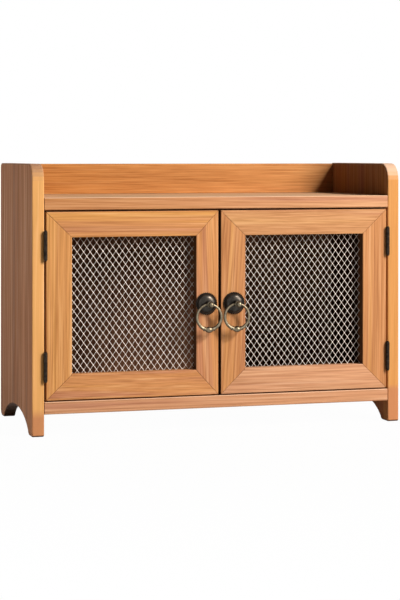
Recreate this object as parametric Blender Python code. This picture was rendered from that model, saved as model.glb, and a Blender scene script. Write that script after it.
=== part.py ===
# Countertop storage cabinet: two mesh doors below, an open tray on top, arched side panels as feet.
# Lengths are in metres. Places are measured from the front left corner of the cabinet at floor level,
# with x to the right, y from the front face to the back and z up.

import math

import bmesh
import bpy
from mathutils import Matrix, Vector

# Overall size and boards
WIDTH = 0.380
DEPTH = 0.161
HEIGHT = 0.2624
BOARD = 0.012
FOOT_HEIGHT = 0.0213
TRAY_HEIGHT = 0.0326
RAIL_THICKNESS = 0.008
RAIL_DROP = 0.0008
BACK_THICKNESS = 0.004
BOARD_EASE = 0.0011

# Joint line left between two pieces that touch
SEAT = 0.0003

# Outline of a side panel
FRONT_TOP_ROUND = 0.0165
BACK_TOP_ROUND = 0.005
TOE_ROUND = 0.002
HEEL_ROUND = 0.007
FOOT_ROUND = 0.006
FOOT_LENGTH = 0.018
ARCH_MARGIN = 0.0005
ARCH_FULLNESS = 0.66

# Dowels in the shelf ends and in the ends of the back rail
DOWEL_RADIUS = 0.003
RAIL_DOWEL_RADIUS = 0.002
DOWEL_IN_PANEL = 0.008
DOWEL_IN_SHELF = 0.016
DOWEL_CHAMFER = 0.0006
DOWEL_SETBACK = 0.030

# Doors
DOOR_SIDE_GAP = 0.0018
DOOR_TOP_GAP = 0.0017
DOOR_BOTTOM_GAP = 0.0013
MEETING_GAP = 0.0026
MEETING_SHIFT = 0.00135
STILE_WIDTH = 0.0256
RAIL_WIDTH = 0.0248
MEMBER_EASE = 0.0008
REBATE_WIDTH = 0.0045
LIP_THICKNESS = 0.009
BEAD_THICKNESS = 0.0044
BEAD_ROUND = 0.003

# Diamond mesh, an expanded sheet with a plain edge under the beads
MESH_THICKNESS = 0.001
MESH_STRAND = 0.0013
MESH_PITCH_X = 0.0114
MESH_PITCH_Z = 0.0165

# Butt hinges
HINGE_LENGTH = 0.0275
HINGE_INSET = 0.0325
PIN_RADIUS = 0.0008
KNUCKLE_WALL = 0.0007
PIN_HEAD_RADIUS = 0.0014
PIN_HEAD_HEIGHT = 0.0009
LEAF_THICKNESS = 0.0009
LEAF_DEPTH = 0.009
LEAF_GAP = 0.0006

# Ring pulls
PULL_SPACING = 0.0287
PULL_SHIFT = 0.00055
PULL_DROP = 0.001
PLATE_RADIUS = 0.0113
PLATE_EDGE = 0.0010
PLATE_RIM_WIDTH = 0.0019
PLATE_RIM_HEIGHT = 0.0019
PLATE_RIBS = 32
PLATE_RIB_DEPTH = 0.0005
DOME_HEIGHT = 0.0052
SHANK_RADIUS = 0.002
NECK_RADIUS = 0.0029
NECK_LENGTH = 0.008
GROOVE_WIDTH = 0.0006
GROOVE_DEPTH = 0.0010
BALL_RADIUS = 0.003
EYE_RADIUS = 0.0017
NUT_RADIUS = 0.0042
NUT_THICKNESS = 0.003
SHANK_END = 0.001
RING_GAP = 0.0009
RING_WIRE_TOP = 0.00105
RING_WIRE_BOTTOM = 0.0018
BEAD_RADIUS = 0.003
BEAD_LENGTH = 0.0084
COLLAR_RADIUS = 0.0024
COLLAR_LENGTH = 0.0012

# Magnetic catches and strike plates
CATCH_INSET = 0.045
CATCH_BODY_WIDTH = 0.020
CATCH_EAR_WIDTH = 0.006
CATCH_DEPTH = 0.011
CATCH_HEIGHT = 0.010
CATCH_FLANGE = 0.002
CATCH_HOLE_RADIUS = 0.0015
STRIKE_WIDTH = 0.022
STRIKE_HEIGHT = 0.008
STRIKE_THICKNESS = 0.001
STRIKE_ROUND = 0.002

# Facets of curved shapes
ROUND_STEPS = 3
TOP_ROUND_STEPS = 6
ARCH_STEPS = 12
DOWEL_SIDES = 10
BARREL_SIDES = 12
STUD_SIDES = 16
DOME_STEPS = 4
BALL_STEPS = 6
NUT_SIDES = 12
RING_STATIONS = 26
RING_BEVEL_STEPS = 2
SMOOTH_ANGLE = math.radians(40)

# Colour, roughness and metallic value of each material
FINISHES = {
    "stained_wood": ((0.520, 0.230, 0.078), 0.55, 0.0),
    "plywood": ((0.300, 0.140, 0.060), 0.65, 0.0),
    "beech": ((0.560, 0.370, 0.200), 0.60, 0.0),
    "aged_bronze": ((0.090, 0.065, 0.045), 0.38, 1.0),
    "dark_iron": ((0.045, 0.038, 0.032), 0.45, 1.0),
    "zinc_mesh": ((0.620, 0.560, 0.490), 0.35, 1.0),
    "steel": ((0.450, 0.440, 0.420), 0.35, 1.0),
    "brown_plastic": ((0.070, 0.040, 0.025), 0.50, 0.0),
}

# Heights and places that follow from the sizes
shelf_bottom = HEIGHT - TRAY_HEIGHT - BOARD
shelf_top = HEIGHT - TRAY_HEIGHT
door_bottom = FOOT_HEIGHT + BOARD + DOOR_BOTTOM_GAP
door_height = shelf_bottom - DOOR_TOP_GAP - door_bottom
meeting_x = WIDTH / 2 - MEETING_SHIFT
inner_length = WIDTH - 2 * BOARD - 2 * SEAT
shelf_depth = DEPTH - BACK_THICKNESS - SEAT
door_thickness = LIP_THICKNESS + SEAT + MESH_THICKNESS + SEAT + BEAD_THICKNESS
barrel_radius = PIN_RADIUS + SEAT + KNUCKLE_WALL
leaf_recess = LEAF_THICKNESS + SEAT - (DOOR_SIDE_GAP - LEAF_GAP) / 2
axis_inset = BOARD + DOOR_SIDE_GAP / 2
axis_y = -barrel_radius - SEAT
pull_z = door_bottom + door_height / 2 - PULL_DROP
pull_x = {
    "left": meeting_x + PULL_SHIFT - PULL_SPACING / 2,
    "right": meeting_x + PULL_SHIFT + PULL_SPACING / 2,
}
neck_start = DOME_HEIGHT + SEAT
neck_end = neck_start + NECK_LENGTH
eye_offset = (neck_start + neck_end) / 2
groove_radius = BALL_RADIUS - GROOVE_DEPTH
ball_angle = math.asin(groove_radius / BALL_RADIUS)
ball_offset = neck_end + GROOVE_WIDTH + BALL_RADIUS * math.cos(ball_angle)
pull_reach = ball_offset + BALL_RADIUS
# The two rings hang side by side with a gap between them
ring_radius = (PULL_SPACING - RING_GAP - RING_WIRE_TOP - RING_WIRE_BOTTOM) / 2
hinge_z = {
    "upper": door_bottom + door_height - HINGE_INSET,
    "lower": door_bottom + HINGE_INSET,
}
mesh_front = LIP_THICKNESS + SEAT
bead_front = mesh_front + MESH_THICKNESS + SEAT

# Each empty's place on the cabinet
places = {}


def clear_scene():
    for thing in list(bpy.data.objects):
        bpy.data.objects.remove(thing, do_unlink=True)


# An empty that carries the pieces of one body
def carrier(name, place, parent=None):
    empty = bpy.data.objects.new(name, None)
    empty.empty_display_size = BOARD
    bpy.context.scene.collection.objects.link(empty)
    empty.parent = parent
    empty.location = place if parent is None else place - places[parent.name]
    places[name] = Vector((0, 0, 0)) if parent is None else place
    return empty


def dress(piece, finish):
    colour, roughness, metallic = FINISHES[finish]
    material = bpy.data.materials.new(piece.name + "_" + finish)
    material.use_nodes = True
    shader = material.node_tree.nodes["Principled BSDF"]
    shader.inputs["Base Color"].default_value = (*colour, 1.0)
    shader.inputs["Roughness"].default_value = roughness
    shader.inputs["Metallic"].default_value = metallic
    piece.data.materials.append(material)


# A closed shape in cabinet places becomes a named object under its carrier
def add(name, shape, finish, parent):
    bmesh.ops.recalc_face_normals(shape, faces=shape.faces)
    bmesh.ops.translate(shape, verts=shape.verts, vec=-places[parent.name])
    mesh = bpy.data.meshes.new(name)
    shape.to_mesh(mesh)
    shape.free()
    mesh.shade_smooth()
    mesh.set_sharp_from_angle(angle=SMOOTH_ANGLE)
    piece = bpy.data.objects.new(name, mesh)
    bpy.context.scene.collection.objects.link(piece)
    piece.parent = parent
    if finish:
        dress(piece, finish)
    return piece


# A Boolean between a piece and a hidden tool that lies under the same carrier
def combine(piece, shape, operation="DIFFERENCE"):
    tool = add(piece.name + "_" + operation.lower(), shape, None, piece.parent)
    tool.hide_render = True
    tool.display_type = "WIRE"
    modifier = piece.modifiers.new(operation.title(), "BOOLEAN")
    modifier.operation = operation
    modifier.object = tool


def extruded(outline, run):
    shape = bmesh.new()
    face = shape.faces.new([shape.verts.new(point) for point in outline])
    grown = bmesh.ops.extrude_face_region(shape, geom=[face])["geom"]
    ends = [item for item in grown if isinstance(item, bmesh.types.BMVert)]
    bmesh.ops.translate(shape, verts=ends, vec=run)
    return shape


def box_into(shape, low, high):
    low, high = Vector(low), Vector(high)
    size = Matrix.Diagonal((*(high - low), 1.0))
    bmesh.ops.create_cube(shape, size=1.0, matrix=Matrix.Translation((low + high) / 2) @ size)


# A cylinder along an axis, from the centre of one end over a length
def rod_into(shape, start, axis, length, radius, sides):
    axis = Vector(axis)
    turn = Vector((0, 0, 1)).rotation_difference(axis).to_matrix().to_4x4()
    middle = Matrix.Translation(Vector(start) + axis * length / 2)
    bmesh.ops.create_cone(
        shape, cap_ends=True, segments=sides, radius1=radius, radius2=radius, depth=length, matrix=middle @ turn
    )


# Corners of a flat outline, each rounded by its radius
def rounded(corners, radii, steps):
    outline = []
    for index, (corner, radius) in enumerate(zip(corners, radii)):
        if radius == 0:
            outline.append(corner)
            continue
        here = Vector(corner)
        back = (Vector(corners[index - 1]) - here).normalized()
        ahead = (Vector(corners[(index + 1) % len(corners)]) - here).normalized()
        half = back.angle(ahead) / 2
        middle = here + (back + ahead).normalized() * radius / math.sin(half)
        start = (here + back * radius / math.tan(half) - middle).normalized()
        end = (here + ahead * radius / math.tan(half) - middle).normalized()
        for step in range(steps + 1):
            outline.append(tuple(middle + start.slerp(end, step / steps) * radius))
    return outline


# A profile of (radius, distance) points turned about an axis through a centre
def turned(profile, centre, axis, sides, ring=False):
    shape = bmesh.new()
    axis = Vector(axis)
    side = Vector((0, 0, 1)) if abs(axis.z) < 0.5 else Vector((1, 0, 0))
    corners = [shape.verts.new(Vector(centre) + side * radius + axis * distance) for radius, distance in profile]
    edges = [shape.edges.new(pair) for pair in zip(corners, corners[1:])]
    if ring:
        edges.append(shape.edges.new((corners[-1], corners[0])))
    bmesh.ops.spin(
        shape, geom=corners + edges, cent=centre, axis=axis, angle=math.tau, steps=sides, use_merge=True
    )
    bmesh.ops.remove_doubles(shape, verts=shape.verts, dist=1e-6)
    return shape


def side_panel(side, cabinet):
    half_span = DEPTH / 2 - FOOT_LENGTH
    rise = FOOT_HEIGHT - ARCH_MARGIN
    arch = []
    for step in range(ARCH_STEPS + 1):
        along = -math.cos(math.pi * step / ARCH_STEPS)
        arch.append((DEPTH / 2 + half_span * along, rise * (1 - along**2) ** ARCH_FULLNESS))
    corners = [(0, 0), *arch, (DEPTH, 0), (DEPTH, HEIGHT), (0, HEIGHT)]
    plain = [0] * (ARCH_STEPS - 1)
    radii = [TOE_ROUND, FOOT_ROUND, *plain, FOOT_ROUND, HEEL_ROUND, BACK_TOP_ROUND, FRONT_TOP_ROUND]
    outline = rounded(corners, radii, TOP_ROUND_STEPS)
    outer = 0 if side == "left" else WIDTH - BOARD
    shape = extruded([(outer, y, z) for y, z in outline], (BOARD, 0, 0))
    panel = add(side + "_side_panel", shape, "stained_wood", cabinet)
    ease = panel.modifiers.new("Eased edges", "BEVEL")
    ease.width = BOARD_EASE
    ease.segments = 2
    ease.limit_method = "ANGLE"
    ease.angle_limit = SMOOTH_ANGLE
    return panel


# Hinge recesses in a side panel, and the holes for the dowels
def cut_side_panel(panel, side, dowels):
    inward = 1 if side == "left" else -1
    face = BOARD if side == "left" else WIDTH - BOARD
    shape = bmesh.new()
    for height in hinge_z.values():
        reach = HINGE_LENGTH / 2 + SEAT
        edges = sorted((face - inward * leaf_recess, face + inward * BOARD))
        box_into(shape, (edges[0], -BOARD, height - reach), (edges[1], LEAF_DEPTH + SEAT, height + reach))
    for y, z, radius in dowels:
        start = (face - inward * (DOWEL_IN_PANEL + SEAT), y, z)
        rod_into(shape, start, (inward, 0, 0), DOWEL_IN_PANEL + BOARD, radius + SEAT, DOWEL_SIDES)
    combine(panel, shape)


# A board between the side panels, drawn as an outline of (y, z) points, with dowel holes in both ends
def cross_board(name, outline, finish, cabinet, dowels):
    start = BOARD + SEAT
    shape = extruded([(start, y, z) for y, z in outline], (inner_length, 0, 0))
    board = add(name, shape, finish, cabinet)
    if not dowels:
        return
    holes = bmesh.new()
    for y, z, radius in dowels:
        for end, inward in ((start, 1), (start + inner_length, -1)):
            first = (end - inward * BOARD, y, z)
            length = BOARD + DOWEL_IN_SHELF + SEAT
            rod_into(holes, first, (inward, 0, 0), length, radius + SEAT, DOWEL_SIDES)
    combine(board, holes)


def dowel(name, side, y, z, radius, cabinet):
    inward = 1 if side == "left" else -1
    face = BOARD if side == "left" else WIDTH - BOARD
    length = DOWEL_IN_PANEL + SEAT + DOWEL_IN_SHELF
    tip = radius - DOWEL_CHAMFER
    profile = [
        (0, 0),
        (tip, 0),
        (radius, DOWEL_CHAMFER),
        (radius, length - DOWEL_CHAMFER),
        (tip, length),
        (0, length),
    ]
    centre = (face - inward * DOWEL_IN_PANEL, y, z)
    add(name, turned(profile, centre, (inward, 0, 0), DOWEL_SIDES), "beech", cabinet)


def build_carcass(cabinet):
    rows = (DOWEL_SETBACK, shelf_depth - DOWEL_SETBACK)
    top_dowels = [(y, shelf_bottom + BOARD / 2, DOWEL_RADIUS) for y in rows]
    bottom_dowels = [(y, FOOT_HEIGHT + BOARD / 2, DOWEL_RADIUS) for y in rows]
    rail_dowels = [(DEPTH - RAIL_THICKNESS / 2, shelf_top + TRAY_HEIGHT / 2, RAIL_DOWEL_RADIUS)]
    for side in ("left", "right"):
        panel = side_panel(side, cabinet)
        cut_side_panel(panel, side, top_dowels + bottom_dowels + rail_dowels)
        for place, (y, z, radius) in zip(("front", "back"), top_dowels):
            dowel(f"top_shelf_dowel_{side}_{place}", side, y, z, radius, cabinet)
        for place, (y, z, radius) in zip(("front", "back"), bottom_dowels):
            dowel(f"bottom_shelf_dowel_{side}_{place}", side, y, z, radius, cabinet)
        for y, z, radius in rail_dowels:
            dowel(f"back_rail_dowel_{side}", side, y, z, radius, cabinet)
    eased_front = [BOARD_EASE, 0, 0, BOARD_EASE]
    for name, low, dowels in (
        ("top_shelf", shelf_bottom, top_dowels),
        ("bottom_shelf", FOOT_HEIGHT, bottom_dowels),
    ):
        corners = [(0, low), (shelf_depth, low), (shelf_depth, low + BOARD), (0, low + BOARD)]
        cross_board(name, rounded(corners, eased_front, ROUND_STEPS), "stained_wood", cabinet, dowels)
    low = shelf_top + SEAT
    front = DEPTH - RAIL_THICKNESS
    high = HEIGHT - RAIL_DROP
    corners = [(front, low), (DEPTH, low), (DEPTH, high), (front, high)]
    rail = rounded(corners, [0, 0, BOARD_EASE, BOARD_EASE], ROUND_STEPS)
    cross_board("back_rail", rail, "stained_wood", cabinet, rail_dowels)
    front = DEPTH - BACK_THICKNESS
    corners = [(front, FOOT_HEIGHT), (DEPTH, FOOT_HEIGHT), (DEPTH, shelf_top), (front, shelf_top)]
    cross_board("back_panel", corners, "plywood", cabinet, [])


# A profile of (inset, depth) points run along one side of a door frame and mitred at both ends
def mitred(profile, length, slopes, spot):
    shape = bmesh.new()
    gaps = [SEAT / 2 * math.sqrt(1 + slope**2) for slope in slopes]
    first = [shape.verts.new(spot(inset * slopes[0] + gaps[0], inset, depth)) for inset, depth in profile]
    last = [
        shape.verts.new(spot(length - inset * slopes[1] - gaps[1], inset, depth)) for inset, depth in profile
    ]
    shape.faces.new(first)
    shape.faces.new(last)
    for index in range(len(profile)):
        shape.faces.new((first[index - 1], first[index], last[index], last[index - 1]))
    return shape


def frame_profile(width):
    corners = [
        (0, 0),
        (width, 0),
        (width, LIP_THICKNESS),
        (width - REBATE_WIDTH, LIP_THICKNESS),
        (width - REBATE_WIDTH, door_thickness),
        (0, door_thickness),
    ]
    return rounded(corners, [MEMBER_EASE, MEMBER_EASE, 0, 0, 0, MEMBER_EASE], ROUND_STEPS)


def bead_profile(width):
    outer = width - REBATE_WIDTH + SEAT
    corners = [(outer, bead_front), (width, bead_front), (width, door_thickness), (outer, door_thickness)]
    return rounded(corners, [0, 0, min(BEAD_ROUND, BEAD_THICKNESS), 0], ROUND_STEPS)


# The mesh panel as a flat curve: its outer edge with one diamond hole for each gap, given a thickness
def mesh_panel(name, low, high, window_low, window_high, parent):
    window = window_high - window_low
    columns = max(2, round(window.x / MESH_PITCH_X))
    rows = max(2, round(window.y / MESH_PITCH_Z))
    half_x = window.x / columns / 2
    half_z = window.y / rows / 2
    share = 1 - MESH_STRAND / 2 * math.hypot(half_x, half_z) / (half_x * half_z)
    arms = [Vector((half_x * share, 0)), Vector((0, half_z * share))]
    arms += [-arm for arm in arms]
    outlines = [[low, Vector((high.x, low.y)), high, Vector((low.x, high.y))]]
    for column in range(2 * columns + 1):
        for row in range(2 * rows + 1):
            if (column + row) % 2:
                continue
            reach = [column < 2 * columns, row < 2 * rows, column > 0, row > 0]
            centre = window_low + Vector((column * half_x, row * half_z))
            outline = [centre + arm for arm, inside in zip(arms, reach) if inside]
            if len(outline) == 2:
                outline.append(centre)
            outlines.append(outline)
    curve = bpy.data.curves.new(name, "CURVE")
    curve.dimensions = "2D"
    curve.fill_mode = "BOTH"
    curve.extrude = MESH_THICKNESS / 2
    for outline in outlines:
        spline = curve.splines.new("POLY")
        spline.points.add(len(outline) - 1)
        spline.use_cyclic_u = True
        for point, spot in zip(spline.points, outline):
            point.co = (spot.x, spot.y, 0, 1)
    panel = bpy.data.objects.new(name, curve)
    bpy.context.scene.collection.objects.link(panel)
    panel.parent = parent
    panel.location = Vector((0, mesh_front + MESH_THICKNESS / 2, 0)) - places[parent.name]
    panel.rotation_euler = (math.pi / 2, 0, 0)
    dress(panel, "zinc_mesh")


def build_door(side, door):
    inward = 1 if side == "left" else -1
    hinge_edge = BOARD + DOOR_SIDE_GAP if side == "left" else WIDTH - BOARD - DOOR_SIDE_GAP
    meeting_edge = meeting_x - inward * MEETING_GAP / 2
    width = abs(meeting_edge - hinge_edge)
    # Both windows are equally wide, so the narrower left door has the narrower meeting stile
    meeting_width = STILE_WIDTH - 2 * MEETING_SHIFT if side == "left" else STILE_WIDTH

    def on_hinge_stile(along, inset, depth):
        return (hinge_edge + inward * inset, depth, door_bottom + along)

    def on_meeting_stile(along, inset, depth):
        return (meeting_edge - inward * inset, depth, door_bottom + along)

    def on_bottom_rail(along, inset, depth):
        return (hinge_edge + inward * along, depth, door_bottom + inset)

    def on_top_rail(along, inset, depth):
        return (hinge_edge + inward * along, depth, door_bottom + door_height - inset)

    rail_slopes = (STILE_WIDTH / RAIL_WIDTH, meeting_width / RAIL_WIDTH)
    hinge_slopes = (RAIL_WIDTH / STILE_WIDTH,) * 2
    meeting_slopes = (RAIL_WIDTH / meeting_width,) * 2
    members = {}
    for name, breadth, length, slopes, spot in (
        ("hinge", STILE_WIDTH, door_height, hinge_slopes, on_hinge_stile),
        ("meeting", meeting_width, door_height, meeting_slopes, on_meeting_stile),
        ("bottom", RAIL_WIDTH, width, rail_slopes, on_bottom_rail),
        ("top", RAIL_WIDTH, width, rail_slopes, on_top_rail),
    ):
        kind = "stile" if name in ("hinge", "meeting") else "rail"
        member = mitred(frame_profile(breadth), length, slopes, spot)
        members[name] = add(f"{side}_door_{name}_{kind}", member, "stained_wood", door)
        bead = mitred(bead_profile(breadth), length, slopes, spot)
        add(f"{side}_door_{name}_bead", bead, "stained_wood", door)

    recesses = bmesh.new()
    for height in hinge_z.values():
        reach = HINGE_LENGTH / 2 + SEAT
        edges = sorted((hinge_edge - inward * BOARD, hinge_edge + inward * leaf_recess))
        box_into(recesses, (edges[0], -BOARD, height - reach), (edges[1], LEAF_DEPTH + SEAT, height + reach))
    combine(members["hinge"], recesses)

    stud_hole = bmesh.new()
    start = (pull_x[side], -door_thickness, pull_z)
    rod_into(stud_hole, start, (0, 1, 0), 3 * door_thickness, SHANK_RADIUS + SEAT, STUD_SIDES)
    combine(members["meeting"], stud_hole)

    ends = sorted((hinge_edge + inward * STILE_WIDTH, meeting_edge - inward * meeting_width))
    window_low = Vector((ends[0], door_bottom + RAIL_WIDTH))
    window_high = Vector((ends[1], door_bottom + door_height - RAIL_WIDTH))
    border = Vector((1, 1)) * (REBATE_WIDTH - SEAT)
    mesh_panel(f"{side}_door_mesh", window_low - border, window_high + border, window_low, window_high, door)


# One leaf of a hinge: a blank with tabs that run into the knuckles, then the hole for the pin
def hinge_leaf(name, pin, toward, knuckles, parent):
    half = HINGE_LENGTH / 2
    front = -axis_y
    back = front + LEAF_DEPTH
    tab = barrel_radius / 2
    outline = [(back, half), (back, -half), (front, -half)]
    for low, high in knuckles:
        outline += [(front, low), (tab, low), (tab, high), (front, high)]
    outline.append((front, half))
    near = Vector((toward * LEAF_GAP / 2, 0, 0))
    corners = [pin + near + Vector((0, y, z)) for y, z in dict.fromkeys(outline)]
    leaf = add(name, extruded(corners, (toward * LEAF_THICKNESS, 0, 0)), "dark_iron", parent)
    rolls = bmesh.new()
    for low, high in knuckles:
        rod_into(rolls, pin + Vector((0, 0, low)), (0, 0, 1), high - low, barrel_radius, BARREL_SIDES)
    combine(leaf, rolls, "UNION")
    bore = bmesh.new()
    start = pin - Vector((0, 0, HINGE_LENGTH))
    rod_into(bore, start, (0, 0, 1), 2 * HINGE_LENGTH, PIN_RADIUS + SEAT, BARREL_SIDES)
    combine(leaf, bore)


def hinge_pin(name, pin, parent):
    reach = HINGE_LENGTH / 2 + SEAT
    tip = reach + PIN_HEAD_HEIGHT
    edge = reach + PIN_HEAD_HEIGHT / 2
    crown = PIN_HEAD_RADIUS / 2
    upper = [(PIN_RADIUS, reach), (PIN_HEAD_RADIUS, reach), (PIN_HEAD_RADIUS, edge), (crown, tip), (0, tip)]
    lower = [(radius, -height) for radius, height in reversed(upper)]
    add(name, turned(lower + upper, pin, (0, 0, 1), BARREL_SIDES), "dark_iron", parent)


def build_hinges(cabinet, doors):
    middle = HINGE_LENGTH / 6
    end = HINGE_LENGTH / 2
    outer_knuckles = [(-end, -middle - SEAT / 2), (middle + SEAT / 2, end)]
    middle_knuckle = [(-middle + SEAT / 2, middle - SEAT / 2)]
    for side, axis_x, inward in (("left", axis_inset, 1), ("right", WIDTH - axis_inset, -1)):
        for level, height in hinge_z.items():
            name = f"{side}_{level}_hinge"
            pin = Vector((axis_x, axis_y, height))
            hinge_leaf(name + "_panel_leaf", pin, -inward, outer_knuckles, cabinet)
            hinge_leaf(name + "_door_leaf", pin, inward, middle_knuckle, doors[side])
            hinge_pin(name + "_pin", pin, cabinet)


def backplate(side, door):
    hole = SHANK_RADIUS + SEAT
    dome_radius = PLATE_RADIUS - PLATE_RIM_WIDTH
    dome_base = (PLATE_EDGE + PLATE_RIM_HEIGHT) / 2
    profile = [
        (hole, SEAT),
        (PLATE_RADIUS, SEAT),
        (PLATE_RADIUS, PLATE_EDGE),
        (PLATE_RADIUS - PLATE_RIM_WIDTH / 2, PLATE_RIM_HEIGHT),
    ]
    for step in range(DOME_STEPS + 1):
        angle = math.pi / 2 * step / DOME_STEPS
        radius = NECK_RADIUS + (dome_radius - NECK_RADIUS) * math.cos(angle)
        profile.append((radius, dome_base + (DOME_HEIGHT - dome_base) * math.sin(angle)))
    profile.append((hole, DOME_HEIGHT))
    centre = Vector((pull_x[side], 0, pull_z))
    shape = turned(profile, centre, (0, -1, 0), 2 * PLATE_RIBS, ring=True)
    # Every second line of the rim is drawn in, which leaves the ribs
    for vert in shape.verts:
        arm = Vector((vert.co.x - centre.x, vert.co.z - centre.z))
        line = round(math.atan2(arm.x, arm.y) / math.pi * PLATE_RIBS)
        if arm.length > dome_radius + PLATE_RIM_WIDTH / 4 and line % 2:
            arm = arm.normalized() * PLATE_RIB_DEPTH
            vert.co.x -= arm.x
            vert.co.z -= arm.y
    add(f"{side}_pull_backplate", shape, "aged_bronze", door)


def stud(side, door):
    rear = -(door_thickness + SEAT + NUT_THICKNESS + SHANK_END)
    profile = [
        (0, rear),
        (SHANK_RADIUS, rear),
        (SHANK_RADIUS, neck_start),
        (NECK_RADIUS, neck_start),
        (NECK_RADIUS, neck_end),
        (groove_radius, neck_end + GROOVE_WIDTH / 2),
    ]
    for step in range(BALL_STEPS + 1):
        angle = ball_angle + (math.pi - ball_angle) * step / BALL_STEPS
        profile.append((BALL_RADIUS * math.sin(angle), ball_offset - BALL_RADIUS * math.cos(angle)))
    centre = (pull_x[side], 0, pull_z)
    post = add(f"{side}_pull_stud", turned(profile, centre, (0, -1, 0), STUD_SIDES), "aged_bronze", door)
    eye = bmesh.new()
    first = (pull_x[side] - 2 * NECK_RADIUS, -eye_offset, pull_z)
    rod_into(eye, first, (1, 0, 0), 4 * NECK_RADIUS, EYE_RADIUS, BARREL_SIDES)
    combine(post, eye)


def nut(side, door):
    hole = SHANK_RADIUS + SEAT
    near = door_thickness + SEAT
    far = near + NUT_THICKNESS
    profile = [(hole, near), (NUT_RADIUS, near), (NUT_RADIUS, far), (hole, far)]
    centre = Vector((pull_x[side], 0, pull_z))
    shape = turned(profile, centre, (0, 1, 0), NUT_SIDES, ring=True)
    # Every second outer line lies on a flat of the hexagon
    for vert in shape.verts:
        arm = Vector((vert.co.x - centre.x, vert.co.z - centre.z))
        line = round(math.atan2(arm.x, arm.y) / math.tau * NUT_SIDES)
        if arm.length > (hole + NUT_RADIUS) / 2 and line % 2:
            arm = arm * (1 - math.cos(math.tau / NUT_SIDES))
            vert.co.x -= arm.x
            vert.co.z -= arm.y
    add(f"{side}_pull_nut", shape, "steel", door)


# Wire radius of the ring at a distance along the wire from the middle of its bead
def ring_wire(distance):
    taper = distance / (math.pi * ring_radius)
    wire = RING_WIRE_BOTTOM + (RING_WIRE_TOP - RING_WIRE_BOTTOM) * taper
    half = BEAD_LENGTH / 2
    if distance < half:
        return max(wire, BEAD_RADIUS * math.sqrt(1 - (distance / half) ** 2))
    if half + COLLAR_LENGTH / 4 < distance < half + COLLAR_LENGTH:
        return COLLAR_RADIUS
    return wire


# A round wire ring that hangs in the stud's eye, with a bead and two collars at its lowest point
def ring(side, door):
    half = BEAD_LENGTH / 2
    near = [half * share for share in (0.0, 0.35, 0.65, 0.88, 1.0)]
    near += [half + COLLAR_LENGTH * share for share in (0.3, 0.9, 1.2)]
    rest = math.pi * ring_radius - near[-1]
    spread = [near[-1] + rest * step / (RING_STATIONS // 2) for step in range(1, RING_STATIONS // 2)]
    one_side = near + spread
    distances = [-d for d in reversed(one_side[1:])] + one_side + [math.pi * ring_radius]
    eye = Vector((pull_x[side], -eye_offset, pull_z))
    hanger = carrier(f"{side}_ring_axis", eye, door)
    curve = bpy.data.curves.new(f"{side}_pull_ring", "CURVE")
    curve.dimensions = "3D"
    curve.bevel_depth = RING_WIRE_BOTTOM
    curve.bevel_resolution = RING_BEVEL_STEPS
    spline = curve.splines.new("POLY")
    spline.points.add(len(distances) - 1)
    spline.use_cyclic_u = True
    for point, distance in zip(spline.points, distances):
        angle = distance / ring_radius
        point.co = (ring_radius * math.sin(angle), 0, -ring_radius * (1 + math.cos(angle)), 1)
        point.radius = ring_wire(abs(distance)) / RING_WIRE_BOTTOM
    piece = bpy.data.objects.new(f"{side}_pull_ring", curve)
    bpy.context.scene.collection.objects.link(piece)
    piece.parent = hanger
    dress(piece, "aged_bronze")


def build_catch(side, cabinet, door):
    inward = -1 if side == "left" else 1
    middle = meeting_x + inward * (MEETING_GAP / 2 + CATCH_INSET)
    top = shelf_bottom - SEAT
    low = top - CATCH_HEIGHT
    narrow = CATCH_BODY_WIDTH / 2
    wide = narrow + CATCH_EAR_WIDTH
    outline = [
        (middle - wide, top),
        (middle - wide, top - CATCH_FLANGE),
        (middle - narrow, top - CATCH_FLANGE),
        (middle - narrow, low),
        (middle + narrow, low),
        (middle + narrow, top - CATCH_FLANGE),
        (middle + wide, top - CATCH_FLANGE),
        (middle + wide, top),
    ]
    strike_front = door_thickness + SEAT
    front = strike_front + STRIKE_THICKNESS + SEAT
    body = extruded([(x, front, z) for x, z in outline], (0, CATCH_DEPTH, 0))
    housing = add(f"{side}_magnetic_catch", body, "brown_plastic", cabinet)
    holes = bmesh.new()
    for ear in (-1, 1):
        start = (middle + ear * (wide + narrow) / 2, front + CATCH_DEPTH / 2, low)
        rod_into(holes, start, (0, 0, 1), 2 * CATCH_HEIGHT, CATCH_HOLE_RADIUS, BARREL_SIDES)
    combine(housing, holes)
    reach = STRIKE_WIDTH / 2
    high = door_bottom + door_height - MEMBER_EASE
    corners = [
        (middle - reach, high - STRIKE_HEIGHT),
        (middle + reach, high - STRIKE_HEIGHT),
        (middle + reach, high),
        (middle - reach, high),
    ]
    outline = rounded(corners, [STRIKE_ROUND] * 4, ROUND_STEPS)
    plate = extruded([(x, strike_front, z) for x, z in outline], (0, STRIKE_THICKNESS, 0))
    add(f"{side}_strike_plate", plate, "steel", door)


def build_cabinet():
    clear_scene()
    # The middle of the whole object, pulls included, is the origin
    cabinet = carrier("cabinet", Vector((-WIDTH / 2, (pull_reach - DEPTH) / 2, 0)))
    build_carcass(cabinet)
    doors = {}
    for side in ("left", "right"):
        axis_x = axis_inset if side == "left" else WIDTH - axis_inset
        doors[side] = carrier(f"{side}_door_axis", Vector((axis_x, axis_y, door_bottom)), cabinet)
        build_door(side, doors[side])
        backplate(side, doors[side])
        stud(side, doors[side])
        nut(side, doors[side])
        ring(side, doors[side])
        build_catch(side, cabinet, doors[side])
    build_hinges(cabinet, doors)


build_cabinet()
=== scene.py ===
import math

import bmesh
import bpy
from mathutils import Matrix, Vector


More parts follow.
